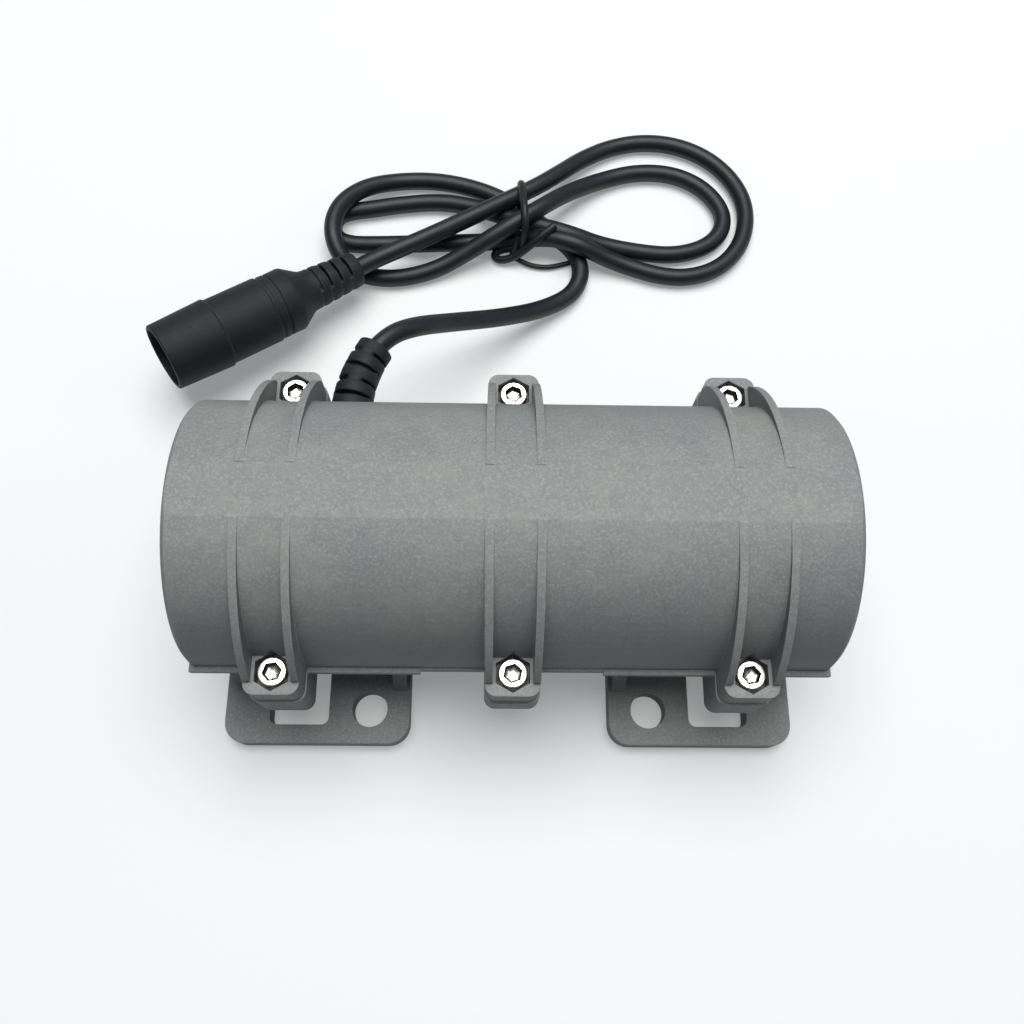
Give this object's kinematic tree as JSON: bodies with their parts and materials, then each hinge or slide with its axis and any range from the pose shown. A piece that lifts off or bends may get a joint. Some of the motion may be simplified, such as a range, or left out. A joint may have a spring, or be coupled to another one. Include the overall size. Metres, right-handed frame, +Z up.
{
  "type": "vibration motor",
  "caption": "Enclosed vibration motor in a clamped plastic barrel on flat mounting feet, with eccentric weights on both shaft ends and a corded connector.",
  "frame": {"origin": "on the mounting surface, under the middle of the barrel", "axes": "+X along the shaft, away from the end where the cord leaves; +Y towards the side where the cord leaves; +Z up from the mounting surface"},
  "size_m": [0.1386, 0.1506, 0.0509],
  "materials": {
    "housing": "moulded grey nylon, light speckle",
    "screw_steel": "bright stainless",
    "nut_steel": "plain stainless",
    "cord_black": "semi-gloss PVC",
    "gland_black": "matte moulded",
    "connector_black": "matte black",
    "contact_metal": "nickel plated",
    "tie_black": "coated wire",
    "motor_steel": "zinc plated",
    "bell_alloy": "die cast",
    "lamination": "stacked sheet",
    "copper": "enamelled wire",
    "magnet": "sintered",
    "bearing_steel": "polished",
    "shaft_steel": "ground",
    "weight_steel": "turned",
    "board": "solder mask",
    "chips": "moulded",
    "insulator": "natural nylon",
    "lead_red": "satin",
    "lead_black": "satin"
  },
  "bodies": {
    "housing": {"upper_shell": "housing", "lower_shell": "housing", "clamp_screws": "screw_steel", "clamp_nuts": "nut_steel", "cable_gland": "gland_black", "cord_lead": "cord_black", "cord_hank": "cord_black", "bundle_tie": "tie_black", "connector_shell": "connector_black", "connector_boot": "gland_black", "connector_core": "connector_black", "connector_pin": "contact_metal", "connector_contact": "contact_metal", "motor_can": "motor_steel", "left_bell": "bell_alloy", "right_bell": "bell_alloy", "stator_core": "lamination", "stator_windings": "copper", "left_insulator": "insulator", "right_insulator": "insulator", "driver_board": "board", "driver_parts": "chips", "red_lead": "lead_red", "black_lead": "lead_black", "left_outer_race": "bearing_steel", "right_outer_race": "bearing_steel", "preload_washer": "shaft_steel"},
    "rotor": {"rotor_shaft": "shaft_steel", "rotor_core": "lamination", "rotor_magnets": "magnet", "left_inner_race": "bearing_steel", "right_inner_race": "bearing_steel", "left_circlip": "shaft_steel", "right_circlip": "shaft_steel", "left_weight": "weight_steel", "right_weight": "weight_steel", "left_grub_screw": "shaft_steel", "right_grub_screw": "shaft_steel"},
    "left_balls": {"left_ball_set": "bearing_steel"},
    "right_balls": {"right_ball_set": "bearing_steel"}
  },
  "joints": [
    {"name": "rotor_spin", "type": "hinge", "parent": "housing", "child": "rotor", "pos_m": [0, 0, 0.02625], "axis": [1, 0, 0], "continuous": true},
    {"name": "left_bearing_cage", "type": "hinge", "parent": "housing", "child": "left_balls", "pos_m": [-0.0187, 0, 0.02625], "axis": [1, 0, 0], "continuous": true},
    {"name": "right_bearing_cage", "type": "hinge", "parent": "housing", "child": "right_balls", "pos_m": [0.0187, 0, 0.02625], "axis": [1, 0, 0], "continuous": true}
  ],
  "couplings": [
    {"joint": "left_bearing_cage", "follows": "rotor_spin", "ratio": 0.3606},
    {"joint": "right_bearing_cage", "follows": "rotor_spin", "ratio": 0.3606}
  ]
}
